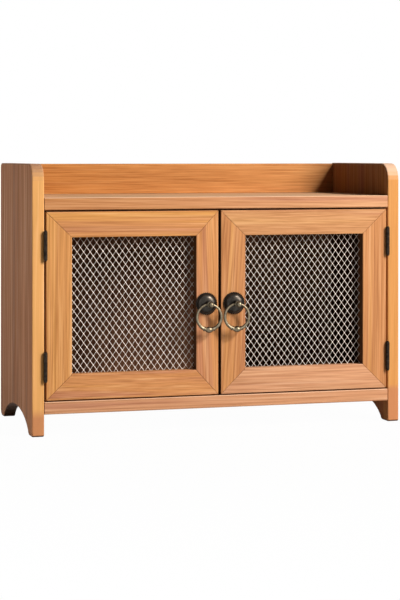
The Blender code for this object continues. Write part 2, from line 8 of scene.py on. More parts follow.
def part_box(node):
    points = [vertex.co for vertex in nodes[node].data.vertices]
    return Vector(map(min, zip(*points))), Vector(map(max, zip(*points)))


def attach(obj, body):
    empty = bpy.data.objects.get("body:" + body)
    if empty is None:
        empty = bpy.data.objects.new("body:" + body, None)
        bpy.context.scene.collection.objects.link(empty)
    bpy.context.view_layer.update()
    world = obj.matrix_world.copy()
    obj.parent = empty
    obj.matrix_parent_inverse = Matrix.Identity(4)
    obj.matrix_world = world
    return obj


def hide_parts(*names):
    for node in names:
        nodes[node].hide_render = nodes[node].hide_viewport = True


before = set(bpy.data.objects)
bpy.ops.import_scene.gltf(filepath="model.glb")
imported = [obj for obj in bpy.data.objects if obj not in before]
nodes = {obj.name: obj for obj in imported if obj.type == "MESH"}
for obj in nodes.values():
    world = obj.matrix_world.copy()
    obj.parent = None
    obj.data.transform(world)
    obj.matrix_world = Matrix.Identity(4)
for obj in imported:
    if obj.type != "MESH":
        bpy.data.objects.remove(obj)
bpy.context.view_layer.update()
bpy.ops.object.select_all(action="DESELECT")
mm = 0.001
doors = ("left", "right")
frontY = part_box("left_side_panel")[0].y
print("frame loaded:", len(nodes), "nodes")


# sRGB hex to the linear colour that the shaders take
def hexColour(text):
    channels = [int(text[at:at + 2], 16) / 255 for at in (0, 2, 4)]
    linear = [c / 12.92 if c <= 0.04045 else ((c + 0.055) / 1.055) ** 2.4 for c in channels]
    return (*linear, 1.0)


# adds one node with its fields, its sockets (values or links) and the stops of a ramp
def addNode(tree, kind, sockets=None, stops=(), **fields):
    node = tree.nodes.new("ShaderNode" + kind)
    for field, value in fields.items():
        setattr(node, field, value)
    for socket, value in (sockets or {}).items():
        if isinstance(value, bpy.types.NodeSocket):
            tree.links.new(value, node.inputs[socket])
        else:
            node.inputs[socket].default_value = value
    for index, (position, colour) in enumerate(stops):
        ramp = node.color_ramp.elements
        stop = ramp[index] if index < 2 else ramp.new(position)
        stop.position = position
        stop.color = hexColour(colour)
    return node


def startMaterial(name):
    material = bpy.data.materials.new(name)
    material.use_nodes = True
    material.node_tree.nodes.clear()
    return material, material.node_tree


def dressNode(name, material):
    for slot in nodes[name].material_slots:
        slot.material = material


# camera at the photograph's viewing angle, in metres and degrees, lens in mm
cameraFit = {
    "place": (-0.53986, -1.76244, 0.27134),
    "yaw": 16.572,
    "pitch": 0.236,
    "roll": 0.017,
    "lens": 107.82,
    "sensorHeight": 36.0,
    "shift": (0.0239, -0.2301),
    "nearest": 0.05,
}


def setCamera():
    yaw, pitch, roll = (math.radians(cameraFit[turn]) for turn in ("yaw", "pitch", "roll"))
    level = math.cos(pitch)
    ahead = Vector((math.sin(yaw) * level, math.cos(yaw) * level, -math.sin(pitch)))
    right = Vector((math.cos(yaw), -math.sin(yaw), 0))
    up = right.cross(ahead)
    rolledRight = right * math.cos(roll) + up * math.sin(roll)
    rolledUp = up * math.cos(roll) - right * math.sin(roll)
    bpy.ops.object.camera_add()
    camera = bpy.context.object
    camera.name = "photoCamera"
    turn = Matrix((rolledRight, rolledUp, -ahead)).transposed().to_4x4()
    camera.matrix_world = Matrix.Translation(cameraFit["place"]) @ turn
    camera.data.sensor_fit = "VERTICAL"
    camera.data.sensor_height = cameraFit["sensorHeight"]
    camera.data.lens = cameraFit["lens"]
    camera.data.shift_x, camera.data.shift_y = cameraFit["shift"]
    camera.data.clip_start = cameraFit["nearest"]
    bpy.context.scene.camera = camera


setCamera()
bpy.context.scene.view_settings.view_transform = "Standard"

# a soft lamp high on the right, a lower one nearer the front, a weak one far left, a dim room
lamps = {
    "highLamp": {"place": (1.32, -1.62, 1.76), "size": 0.50, "power": 54.0, "colour": "FFF5EA"},
    "frontLamp": {"place": (1.24, -1.40, 0.85), "size": 0.80, "power": 26.0, "colour": "FFF5EA"},
    "sideLamp": {"place": (-1.50, 0.25, 0.14), "size": 0.26, "power": 4.0, "colour": "FFF0E2"},
}
roomLight = {"strength": 0.03, "colour": "F6F4F2"}
aimPoint = Vector((0, 0, 0.13))


def setLamps():
    for name, lamp in lamps.items():
        bpy.ops.object.light_add(type="AREA", location=lamp["place"])
        light = bpy.context.object
        light.name = name
        light.rotation_euler = (Vector(lamp["place"]) - aimPoint).to_track_quat("Z", "Y").to_euler()
        light.data.shape = "DISK"
        light.data.size = lamp["size"]
        light.data.energy = lamp["power"]
        light.data.color = hexColour(lamp["colour"])[:3]


# one for the rays that come straight from the eye, a mirror or glass, which see pure white
def seenWhite(tree):
    path = addNode(tree, "LightPath")
    seen = addNode(tree, "Math", {0: path.outputs["Is Camera Ray"], 1: path.outputs["Is Glossy Ray"]},
                   operation="MAXIMUM")
    return addNode(tree, "Math", {0: seen.outputs[0], 1: path.outputs["Is Transmission Ray"]},
                   operation="MAXIMUM").outputs[0]


def setRoom():
    world = bpy.data.worlds.new("whiteRoom")
    bpy.context.scene.world = world
    world.use_nodes = True
    tree = world.node_tree
    tree.nodes.clear()
    lighting = addNode(tree, "Background", {"Color": hexColour(roomLight["colour"]),
                                            "Strength": roomLight["strength"]})
    white = addNode(tree, "Background", {"Color": (1, 1, 1, 1), "Strength": 1.0})
    mixed = addNode(tree, "MixShader", {0: seenWhite(tree), 1: lighting.outputs[0], 2: white.outputs[0]})
    addNode(tree, "OutputWorld", {"Surface": mixed.outputs[0]})


# pale paper sweep: white to the eye, but it keeps some of the cabinet's shadow close by; in metres
floorLook = {
    "size": 8.0,
    "drop": 0.0004,          # below the feet, so that no two faces lie in one plane
    "colour": "C6C4C0",
    "shadowNear": 0.30,      # from here on the shadow fades
    "shadowFar": 0.75,
    "whiteShare": 0.98,      # how white the paper is to the eye near the cabinet
}


def setFloor():
    bpy.ops.object.select_all(action="DESELECT")
    bpy.ops.mesh.primitive_plane_add(size=floorLook["size"], location=(0, 0, -floorLook["drop"]))
    floor = bpy.context.object
    floor.name = "paperFloor"
    material, tree = startMaterial("matt white paper sweep")
    spot = addNode(tree, "TexCoord")
    away = addNode(tree, "VectorMath", {0: spot.outputs["Object"]}, operation="LENGTH")
    fade = addNode(tree, "MapRange", {0: away.outputs["Value"], 1: floorLook["shadowNear"],
                                      2: floorLook["shadowFar"], 3: floorLook["whiteShare"], 4: 1.0})
    share = addNode(tree, "Math", {0: seenWhite(tree), 1: fade.outputs[0]}, operation="MULTIPLY")
    paper = addNode(tree, "BsdfDiffuse", {"Color": hexColour(floorLook["colour"])})
    glow = addNode(tree, "Emission", {"Color": (1, 1, 1, 1), "Strength": 1.0})
    mixed = addNode(tree, "MixShader", {0: share.outputs[0], 1: paper.outputs[0], 2: glow.outputs[0]})
    addNode(tree, "OutputMaterial", {"Surface": mixed.outputs[0]})
    floor.data.materials.append(material)


setLamps()
setRoom()
setFloor()
print("camera, lamps, room and floor set")

# Stained fir under dull satin lacquer: soft golden and rosy bands along each board, thin growth
# lines that come and go, fine fibres and a faint sheen. Widths in mm across the grain.
firLook = {
    "lineStretch": 26.0,     # how many times longer than wide the growth lines wander
    "bandStretch": 55.0,
    "fibreStretch": 90.0,
    "fibreWidth": 1.3,       # real fibres are finer, drawn coarse enough to show
    "fibreShare": 0.85,
    "streakWidth": 2.6,
    "streakRange": (0.54, 0.74),
    "streaks": 0.3,
    "driftWidth": 40.0,
    "driftRange": (0.40, 0.58),
    "faintest": 0.15,        # what is left of a growth line where it fades out
    "ringWander": 5.0,
    "logStep": 0.37,         # each board is cut from another length of the log, in metres
    "bumpDepth": 0.2,
    "bumpHeight": 0.3,
    "rough": (0.46, 0.60),
    "ior": 1.47,
    "sheen": 0.1,
    "dullSheen": 0.02,       # side panels and shelves are less lacquered than the doors
}
firTones = {
    "honey": {"rosy": "C98F6C", "mid": "D79C68", "gold": "E3AA66", "line": "A56B40", "pale": "F0C898"},
    "tan": {"rosy": "BE8562", "mid": "CC9364", "gold": "D8A268", "line": "9A643E", "pale": "E6B98C"},
    "amber": {"rosy": "BE8048", "mid": "C58648", "gold": "CE9050", "line": "B07440", "pale": "D8A268"},
    "light amber": {"rosy": "D0955C", "mid": "D89C64", "gold": "DFA66C", "line": "B07440",
                    "pale": "D8A268"},
    "golden": {"rosy": "CF9466", "mid": "DEA468", "gold": "E8B06A", "line": "A56B40", "pale": "F0C898"},
    "pale": {"rosy": "CB967A", "mid": "D6A380", "gold": "E0B08A", "line": "AC7A58", "pale": "EECBAA"},
    "rose": {"rosy": "C48E6A", "mid": "CF9B6E", "gold": "DAA976", "line": "A56B40", "pale": "EABF92"},
    "rind": {"rosy": "B07A5A", "mid": "CE946C", "gold": "DEA680", "line": "84543A", "pale": "F4D4B8"},
    # darker tones for the beads inside the doors: painted shade
    "inside": {"rosy": "7A5236", "mid": "865C3E", "gold": "926846", "line": "5C3C26", "pale": "9C7450"},
}
# grain axis, tone and the tone at its far end, width of its bands, strength and spacing of its
# growth lines, where the heart of the log lies from the board's middle, how far the log leans,
# in degrees, and the strength of its pale streaks
boards = {
    "left_side_panel": {"grain": "Z", "tone": "rind", "bands": 14, "lines": 0.7, "spacing": 5.0,
                        "heart": (-30, 70), "tilt": (1.2, 0.5), "streaks": 0.7},
    "right_side_panel": {"grain": "Z", "tone": "honey", "bands": 22, "lines": 0.4, "spacing": 5.2,
                         "heart": (26, -64), "tilt": (-1.0, 0.8)},
    "top_shelf": {"grain": "X", "tone": "tan", "far": "pale", "bands": 7, "lines": 0.5, "spacing": 3.4,
                  "heart": (-90, 36), "tilt": (0.6, 0.9)},
    "bottom_shelf": {"grain": "X", "tone": "pale", "bands": 7, "lines": 0.5, "spacing": 3.6,
                     "heart": (-84, -40), "tilt": (0.5, -0.8)},
    "back_rail": {"grain": "X", "tone": "amber", "far": "light amber", "bands": 9, "lines": 0.12,
                  "spacing": 5.0, "heart": (-26, 44), "tilt": (0.4, 1.4)},
    "left_door_top_rail": {"grain": "X", "tone": "honey", "bands": 11, "lines": 0.35, "spacing": 4.6,
                           "heart": (22, -40), "tilt": (0.4, 0.8)},
    "left_door_bottom_rail": {"grain": "X", "tone": "honey", "bands": 10, "lines": 0.45, "spacing": 4.4,
                              "heart": (14, 26), "tilt": (0.9, 2.2)},
    "left_door_hinge_stile": {"grain": "Z", "tone": "golden", "bands": 12, "lines": 0.4, "spacing": 5.5,
                              "heart": (-36, 28), "tilt": (0.6, 0.6)},
    "left_door_meeting_stile": {"grain": "Z", "tone": "honey", "bands": 12, "lines": 0.35, "spacing": 5.0,
                                "heart": (30, 22), "tilt": (0.8, -1.4)},
    "right_door_top_rail": {"grain": "X", "tone": "rose", "bands": 11, "lines": 0.35, "spacing": 4.0,
                            "heart": (10, 24), "tilt": (0.6, -1.6)},
    "right_door_bottom_rail": {"grain": "X", "tone": "pale", "bands": 9, "lines": 0.5, "spacing": 4.8,
                               "heart": (18, -34), "tilt": (0.5, 1.0)},
    "right_door_hinge_stile": {"grain": "Z", "tone": "tan", "bands": 12, "lines": 0.35, "spacing": 5.4,
                               "heart": (34, 26), "tilt": (0.5, 0.7)},
    "right_door_meeting_stile": {"grain": "Z", "tone": "tan", "bands": 12, "lines": 0.45, "spacing": 6.0,
                                 "heart": (16, 20), "tilt": (1.0, 3.6)},
}
# the beads behind the windows take the darker tones of painted shade
for door in doors:
    for place, grain in (("top", "X"), ("bottom", "X"), ("hinge", "Z"), ("meeting", "Z")):
        boards[f"{door}_door_{place}_bead"] = {"grain": grain, "tone": "inside", "bands": 8, "lines": 0.4,
                                               "spacing": 4.0, "heart": (20, 30), "tilt": (0.8, 0.6)}
# what sets some faces apart: a side panel's golden front edge, rosy toe and pale sawn top; and
# painted light and shade: a painted highlight on the shelves' eased front edges, painted light on
# the tray's floor, a painted shadow in the tray's right corner, painted shade inside the cabinet, on
# the inner side of the feet, on their sawn undersides and in the stiles' joints; a pair says where
# in mm a colour starts and where it is full
faceLook = {
    "left edge": "F4BC74", "left edgeShare": 0.75,
    "right edge": "D39858", "right edgeShare": 0.7,
    "toe": "C08260", "toeShare": 0.75, "leftToe": (27.0, 18.0), "rightToe": (38.0, 33.0),
    "left end": "B08A6E", "left endShare": 0.7, "right end": "E0C0A8", "right endShare": 0.85,
    # painted highlight on the shelves' eased front edges, and painted light on the top shelf's upward face
    "ease": "F4D4B6", "easeShare": 0.8, "tray": "F0CBA2", "trayShare": 0.45,
    # painted shade on the cabinet's inner faces between the shelves, back from the front edge
    "inside": "28170E", "insideShare": 0.92,
    "insideTop": (220.0, 224.0), "insideLow": (23.0, 27.0), "insideFrom": (18.0, 22.0),
    # painted shadow of the right side panel, on its inner face above the top shelf and on the back rail's
    # right end
    "corner": "4A2A18", "cornerShare": 0.45, "cornerFrom": (138.0, 172.0),
    # painted shade on the stiles' side faces at the windows and in the gap between the doors
    "joint": "2A180E", "jointShare": 0.85, "jointShadeTurn": (0.75, 0.95),
    # painted shade: darker brown on the inner side of the feet, near black on the panels' sawn undersides
    "footShade": "6A3A22", "footShadeShare": 0.6, "under": "1C100A", "underShare": 0.8,
}
# which way those faces look: the axis, and the turn towards it where a colour, painted light and shade
# among them, starts and is full
faceTurns = {
    "side_panel": {"front": ("Y", -0.5, -0.9), "upward": ("Z", 0.02, 0.5), "under": ("Z", -0.1, -0.4),
                   "inside": ("X", 0.6, 0.9)},
    "top_shelf": {"inside": ("Z", 0.6, 0.9), "rising": ("Z", 0.25, 0.5), "forward": ("Y", -0.15, -0.4),
                  "tray": ("Z", 0.8, 0.95)},
    "bottom_shelf": {"inside": ("Z", 0.6, 0.9), "rising": ("Z", 0.25, 0.5), "forward": ("Y", -0.15, -0.4)},
}


# the parts of faceLook that a board has and where each of them shows, in the order they are laid on
def markedFaces(tree, name, facing, place):
    kind = next((kind for kind in faceTurns if name.endswith(kind)), None)
    turns = {}
    if kind:
        inward = -1 if name.startswith(("right", "top")) else 1
        for part, (axis, start, stop) in faceTurns[kind].items():
            way = inward if part == "inside" else 1
            turns[part] = addNode(tree, "MapRange", {0: facing.outputs[axis], 1: start * way,
                                                     2: stop * way}).outputs[0]
        near, far = (frontY + depth * mm for depth in faceLook["insideFrom"])
        deep = addNode(tree, "MapRange", {0: place.outputs["Y"], 1: near, 2: far}).outputs[0]

    if kind == "side_panel":
        side = name.split("_")[0]
        levels = {}
        for part, turn, (start, stop) in (("toe", "front", faceLook[side + "Toe"]),
                                          ("roof", "inside", faceLook["insideTop"]),
                                          ("ground", "inside", faceLook["insideLow"])):
            reach = addNode(tree, "MapRange", {0: place.outputs["Z"], 1: start * mm, 2: stop * mm})
            levels[part] = addNode(tree, "Math", {0: turns[turn], 1: reach.outputs[0]},
                                   operation="MULTIPLY").outputs[0]
        # painted shade on the panel's inner face between the shelves, back from the front
        shut = addNode(tree, "Math", {0: levels["ground"], 1: levels["roof"]}, operation="SUBTRACT")
        inside = addNode(tree, "Math", {0: shut.outputs[0], 1: deep}, operation="MULTIPLY")
        # painted shade on the inner side of each foot, below the bottom shelf
        footShade = addNode(tree, "Math", {0: turns["inside"], 1: levels["ground"]}, operation="SUBTRACT")
        # the inside, foot and under parts are painted shade
        parts = [(side + " edge", turns["front"]), ("toe", levels["toe"]), (side + " end", turns["upward"]),
                 ("inside", inside.outputs[0]), ("footShade", footShade.outputs[0]), ("under", turns["under"])]
        if side == "right":
            # the right panel's inner face above the top shelf gets the painted shadow
            parts.append(("corner", levels["roof"]))
        return parts

    if kind:
        # painted shade on the shelf's face towards the compartment, back from the front
        inside = addNode(tree, "Math", {0: turns["inside"], 1: deep}, operation="MULTIPLY")
        # painted highlight on the eased front edge, the faces that rise and look forward
        ease = addNode(tree, "Math", {0: turns["rising"], 1: turns["forward"]}, operation="MULTIPLY")
        parts = [("inside", inside.outputs[0]), ("ease", ease.outputs[0])]
        # painted light on the top shelf's upward face, the tray's floor
        if "tray" in turns:
            parts.append(("tray", turns["tray"]))
        return parts

    if name == "back_rail":
        # painted shadow on the back rail's right end, growing towards the right side panel
        start, stop = (reach * mm for reach in faceLook["cornerFrom"])
        corner = addNode(tree, "MapRange", {0: place.outputs["X"], 1: start, 2: stop})
        return [("corner", corner.outputs[0])]

    # painted shade on the stiles' faces towards the window, and on the meeting stiles also in the gap
    if name.endswith("stile"):
        aside = facing.outputs["X"]
        if name.endswith("meeting_stile"):
            aside = addNode(tree, "Math", {0: aside}, operation="ABSOLUTE").outputs[0]
        inward = -1 if name.startswith("right_door_hinge") else 1
        start, stop = (turn * inward for turn in faceLook["jointShadeTurn"])
        joint = addNode(tree, "MapRange", {0: aside, 1: start, 2: stop})
        return [("joint", joint.outputs[0])]
    return []


def stainedFir(name, board, seed):
    material, tree = startMaterial("stained fir, " + name.replace("_", " "))
    tones = firTones[board["tone"]]
    axis = "XYZ".index(board["grain"])
    across = [at for at in range(3) if at != axis]
    low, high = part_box(name)
    heart = (low + high) / 2
    turn = [0.0, 0.0, 0.0]
    for at, offset, tilt in zip(across, board["heart"], board["tilt"]):
        heart[at] += offset * mm
        turn[at] = math.radians(tilt)
    heart[axis] += firLook["logStep"] * seed
    spot = addNode(tree, "TexCoord")
    facing = addNode(tree, "SeparateXYZ", {0: spot.outputs["Normal"]})
    place = addNode(tree, "SeparateXYZ", {0: spot.outputs["Object"]})
    laid = {}
    for use in ("line", "band", "fibre"):
        stretch = [firLook[use + "Stretch"] if at == axis else 1.0 for at in range(3)]
        laid[use] = addNode(tree, "Mapping", {"Vector": spot.outputs["Object"], "Location": heart,
                                              "Rotation": turn, "Scale": stretch},
                            vector_type="TEXTURE").outputs[0]

    # broad bands of tone
    band = addNode(tree, "TexNoise", {"Vector": laid["band"], "Scale": 1 / (board["bands"] * mm),
                                      "Detail": 2.0, "Roughness": 0.5})
    ends = [addNode(tree, "ValToRGB", {0: band.outputs["Fac"]},
                    stops=((0.34, tone["rosy"]), (0.45, tone["mid"]), (0.56, tone["mid"]),
                           (0.68, tone["gold"])))
            for tone in (tones, firTones[board.get("far", board["tone"])])]
    along = addNode(tree, "MapRange", {0: place.outputs[axis], 1: low[axis], 2: high[axis]})
    toned = addNode(tree, "Mix", {0: along.outputs[0], 6: ends[0].outputs["Color"],
                                  7: ends[1].outputs["Color"]}, data_type="RGBA")
    # growth lines, fading in and out along the board; at scale one they lie pi / 10 apart
    rings = addNode(tree, "TexWave", {"Vector": laid["line"],
                                      "Scale": math.pi / 10 / (board["spacing"] * mm),
                                      "Distortion": firLook["ringWander"], "Detail": 3.0,
                                      "Detail Scale": 0.5, "Detail Roughness": 0.6},
                    wave_type="RINGS", rings_direction=board["grain"], wave_profile="SAW")
    lines = addNode(tree, "ValToRGB", {0: rings.outputs["Fac"]},
                    stops=((0.0, "000000"), (0.62, "000000"), (0.92, "FFFFFF"), (1.0, "000000")))
    drift = addNode(tree, "TexNoise", {"Vector": laid["line"], "Scale": 1 / (firLook["driftWidth"] * mm),
                                       "Detail": 1.0})
    start, stop = firLook["driftRange"]
    present = addNode(tree, "MapRange", {0: drift.outputs["Fac"], 1: start, 2: stop,
                                         3: firLook["faintest"], 4: board["lines"]})
    drawn = addNode(tree, "Math", {0: lines.outputs["Color"], 1: present.outputs[0]}, operation="MULTIPLY")
    lined = addNode(tree, "Mix", {0: drawn.outputs[0], 6: toned.outputs[2], 7: hexColour(tones["line"])},
                    data_type="RGBA")
    # dark fibres and thin pale streaks
    fibre = addNode(tree, "TexNoise", {"Vector": laid["fibre"], "Scale": 1 / (firLook["fibreWidth"] * mm),
                                       "Detail": 3.0, "Roughness": 0.6})
    fibreTone = addNode(tree, "ValToRGB", {0: fibre.outputs["Fac"]},
                        stops=((0.3, "CDBEB0"), (0.48, "EEE7E0"), (0.66, "FFFFFF")))
    fibred = addNode(tree, "Mix", {0: firLook["fibreShare"], 6: lined.outputs[2],
                                   7: fibreTone.outputs["Color"]}, data_type="RGBA", blend_type="MULTIPLY")
    streak = addNode(tree, "TexNoise", {"Vector": laid["fibre"], "Scale": 1 / (firLook["streakWidth"] * mm),
                                        "Detail": 2.0, "Roughness": 0.5})
    start, stop = firLook["streakRange"]
    pale = addNode(tree, "MapRange", {0: streak.outputs["Fac"], 1: start, 2: stop, 3: 0.0,
                                      4: board.get("streaks", firLook["streaks"])})
    colour = addNode(tree, "Mix", {0: pale.outputs[0], 6: fibred.outputs[2], 7: hexColour(tones["pale"])},
                     data_type="RGBA")
    # colours on single faces, painted light and shade among them
    for part, where in markedFaces(tree, name, facing, place):
        share = addNode(tree, "Math", {0: where, 1: faceLook[part + "Share"]}, operation="MULTIPLY")
        colour = addNode(tree, "Mix", {0: share.outputs[0], 6: colour.outputs[2],
                                       7: hexColour(faceLook[part])}, data_type="RGBA")
    # lacquer, duller and sunk where the grain is open
    height = addNode(tree, "Math", {0: fibre.outputs["Fac"], 1: drawn.outputs[0]}, operation="SUBTRACT")
    bump = addNode(tree, "Bump", {"Strength": firLook["bumpDepth"], "Distance": firLook["bumpHeight"] * mm,
                                  "Height": height.outputs[0]})
    bright, dull = firLook["rough"]
    rough = addNode(tree, "MapRange", {0: fibre.outputs["Fac"], 1: 0.3, 2: 0.7, 3: dull, 4: bright})
    sheen = firLook["dullSheen"] if name.endswith(("side_panel", "shelf")) else firLook["sheen"]
    shader = addNode(tree, "BsdfPrincipled", {"Base Color": colour.outputs[2],
                                              "Roughness": rough.outputs[0], "IOR": firLook["ior"],
                                              "Specular IOR Level": sheen, "Normal": bump.outputs[0]})
    addNode(tree, "OutputMaterial", {"Surface": shader.outputs[0]})
    return material


for seed, (name, board) in enumerate(boards.items(), 1):
    dressNode(name, stainedFir(name, board, seed))
print("wood dressed:", len(boards), "boards")

# Other finishes: tone and darker tone of its mottling, the mottling's size in mm and its stretch,
# roughness from bright to dull, metallic, strength of its unevenness and of its shine; worn metal
# is darker on every face that doesn't look to the front, partly patina where nothing rubs it and
# partly painted shade on its flanks
finishes = {
    # thin brown plywood: dark flat sheet with long faint fibres
    "brown stained plywood": {"tones": ("86604A", "66463A"), "grain": 3.0, "stretch": (1, 1, 18),
                              "rough": (0.6, 0.75), "metallic": 0.0, "bump": 0.2, "specular": 0.03},
    # dried wood glue: dark amber brown, smooth, a little glossy
    "dried wood glue": {"tones": ("6E4628", "5A3820"), "grain": 2.0, "stretch": (1, 1, 1),
                        "rough": (0.45, 0.6), "metallic": 0.0, "bump": 0.05, "specular": 0.1},
    # turned beech pins: pale, tight flecks along the pin
    "turned beech": {"tones": ("D2AE82", "B98F62"), "grain": 1.2, "stretch": (14, 1, 1),
                     "rough": (0.55, 0.7), "metallic": 0.0, "bump": 0.2},
    # blackened, polished bronze: near black with a broad soft highlight and faint brown wear
    "blackened bronze": {"tones": ("44403B", "292623"), "grain": 4.0, "stretch": (1, 1, 1),
                         "rough": (0.28, 0.34), "metallic": 1.0, "bump": 0.05},
    # rubbed antique brass: grey tan on faces that look to the front, where fingers keep it bright, and
    # brown black on all others, flanks included: partly patina, partly painted shade
    "rubbed antique brass": {"tones": ("8E836E", "625845"), "grain": 3.0, "stretch": (1, 1, 1),
                             "rough": (0.30, 0.42), "metallic": 1.0, "bump": 0.06, "patinaAndShade": "2E251C"},
    # oil blackened iron: near black, dull
    "oil blackened iron": {"tones": ("37302A", "1C1815"), "grain": 3.0, "stretch": (1, 1, 1),
                           "rough": (0.42, 0.6), "metallic": 1.0, "bump": 0.1},
    # zinc plated steel mesh: soft cream silver, slightly dull
    "zinc plated steel mesh": {"tones": ("FCF4EE", "E8DFD8"), "grain": 5.0, "stretch": (1, 1, 1),
                               "rough": (0.42, 0.56), "metallic": 0.2, "bump": 0.03},
    # bright zinc plated steel: cool, clean, small spangle
    "bright zinc plated steel": {"tones": ("D4D6D6", "B4B6B4"), "grain": 2.0, "stretch": (1, 1, 1),
                                 "rough": (0.25, 0.4), "metallic": 1.0, "bump": 0.04},
    # moulded brown polystyrene: even, slightly glossy, with a spark eroded grit
    "moulded brown polystyrene": {"tones": ("4A2E1C", "412717"), "grain": 0.8, "stretch": (1, 1, 1),
                                  "rough": (0.4, 0.5), "metallic": 0.0, "bump": 0.15},
}


def plainFinish(name, look):
    material, tree = startMaterial(name)
    spot = addNode(tree, "TexCoord")
    laid = addNode(tree, "Mapping", {"Vector": spot.outputs["Object"], "Scale": look["stretch"]},
                   vector_type="TEXTURE")
    grain = addNode(tree, "TexNoise", {"Vector": laid.outputs[0], "Scale": 1 / (look["grain"] * mm),
                                       "Detail": 4.0, "Roughness": 0.6})
    colour = addNode(tree, "ValToRGB", {0: grain.outputs["Fac"]},
                     stops=((0.32, look["tones"][1]), (0.6, look["tones"][0]))).outputs["Color"]
    # faces that don't look to the front take the dark colour: partly patina, partly painted shade
    if "patinaAndShade" in look:
        facing = addNode(tree, "SeparateXYZ", {0: spot.outputs["Normal"]})
        rubbed = addNode(tree, "MapRange", {0: facing.outputs["Y"], 1: -0.35, 2: -0.9})
        colour = addNode(tree, "Mix", {0: rubbed.outputs[0], 6: hexColour(look["patinaAndShade"]), 7: colour},
                         data_type="RGBA").outputs[2]
    bright, dull = look["rough"]
    rough = addNode(tree, "MapRange", {0: grain.outputs["Fac"], 1: 0.3, 2: 0.7, 3: dull, 4: bright})
    bump = addNode(tree, "Bump", {"Strength": look["bump"], "Distance": 0.2 * mm,
                                  "Height": grain.outputs["Fac"]})
    shader = addNode(tree, "BsdfPrincipled", {"Base Color": colour, "Roughness": rough.outputs[0],
                                              "Metallic": look["metallic"], "Normal": bump.outputs[0],
                                              "Specular IOR Level": look.get("specular", 0.5)})
    addNode(tree, "OutputMaterial", {"Surface": shader.outputs[0]})
    return material


made = {name: plainFinish(name, look) for name, look in finishes.items()}
# the finish of each CAD node by a part of its name
carried = {
    "back_panel": "brown stained plywood",
    "_dowel_": "turned beech",
    "_hinge_pin": "oil blackened iron",
    "_leaf": "oil blackened iron",
    "_pull_nut": "bright zinc plated steel",
    "_strike_plate": "bright zinc plated steel",
    "_magnetic_catch": "moulded brown polystyrene",
    "_pull_": "blackened bronze",
    "_door_mesh": "zinc plated steel mesh",
}
for name in nodes:
    if name not in boards:
        finish = next(finish for part, finish in carried.items() if part in name)
        dressNode(name, made[finish])
print("other finishes set:", len(made))


def selectOnly(*pieces):
    bpy.ops.object.select_all(action="DESELECT")
    for piece in pieces:
        piece.select_set(True)
    bpy.context.view_layer.objects.active = pieces[0]


def openEdit(piece):
    selectOnly(piece)
    bpy.ops.object.mode_set(mode="EDIT")


def closeEdit():
    bpy.ops.object.mode_set(mode="OBJECT")


# selects the faces, edges or corners whose place and direction pass the test
def pick(piece, kind, test):
    bpy.context.tool_settings.mesh_select_mode = (kind == "verts", kind == "edges", kind == "faces")
    bpy.ops.mesh.select_all(action="DESELECT")
    mesh = bmesh.from_edit_mesh(piece.data)
    for part in getattr(mesh, kind):
        if kind == "faces":
            found = test(part.calc_center_median(), part.normal)
        elif kind == "edges":
            first, last = (corner.co for corner in part.verts)
            found = test((first + last) / 2, last - first)
        else:
            found = test(part.co, part.normal)
        if found:
            part.select_set(True)
    bmesh.update_edit_mesh(piece.data)


def applyPlace():
    bpy.ops.object.transform_apply(location=True, rotation=True, scale=True)


def addModifier(piece, kind, **fields):
    selectOnly(piece)
    modifier = piece.modifiers.new(kind.lower(), kind)
    for field, value in fields.items():
        setattr(modifier, field, value)
    bpy.ops.object.modifier_apply(modifier=modifier.name)


def joinInto(first, others):
    selectOnly(first, *others)
    bpy.ops.object.join()
    return first


def smoothOver(piece, degrees):
    selectOnly(piece)
    bpy.ops.object.shade_smooth_by_angle(angle=math.radians(degrees))


# a copy with a mesh of its own, moved, and turned from looking up to looking the given way
def copyOf(piece, name, shift, way=(0, 0, 1)):
    selectOnly(piece)
    bpy.ops.object.duplicate(linked=False)
    copied = bpy.context.object
    copied.name = name
    copied.location = shift
    copied.rotation_euler = Vector((0, 0, 1)).rotation_difference(Vector(way)).to_euler()
    applyPlace()
    return copied


def finishPiece(piece, body, finish, slot, *replaced):
    piece.data.materials.clear()
    piece.data.materials.append(made[finish])
    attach(piece, body)
    if replaced:
        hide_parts(*replaced)


# Diamond mesh behind each window, sizes in mm; the strands lean as drawn metal does, in degrees
latticeLook = {
    "pitch": (6.47, 8.83),
    "runs": 36,              # lengths between crossings along one bar
    "bars": 41,
    "strandWide": 0.325,
    "strandThick": 0.18,
    "nodeSwell": 1.5,        # how much thicker a strand is at a crossing
    "lean": -28.0,
    "cuts": 3,
    "rowSlope": 0.9,         # the rows of diamonds rise a little to the right, in degrees
    "trim": 0.9,             # cut back from the sheet's edge, under the beads
    "phase": (2.87, -0.9),   # where a crossing lies from the window's middle
    "rightShift": (-1.68, 0.8),
    "weldWithin": 0.02,
}


def windowOf(door):
    parts = ("hinge_stile", "meeting_stile", "top_rail", "bottom_rail")
    inner = {place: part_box(f"{door}_door_{place}") for place in parts}
    stiles = sorted((inner["hinge_stile"], inner["meeting_stile"]), key=lambda box: box[0].x)
    low = Vector((stiles[0][1].x, 0, inner["bottom_rail"][1].z))
    return low, Vector((stiles[1][0].x, 0, inner["top_rail"][0].z))


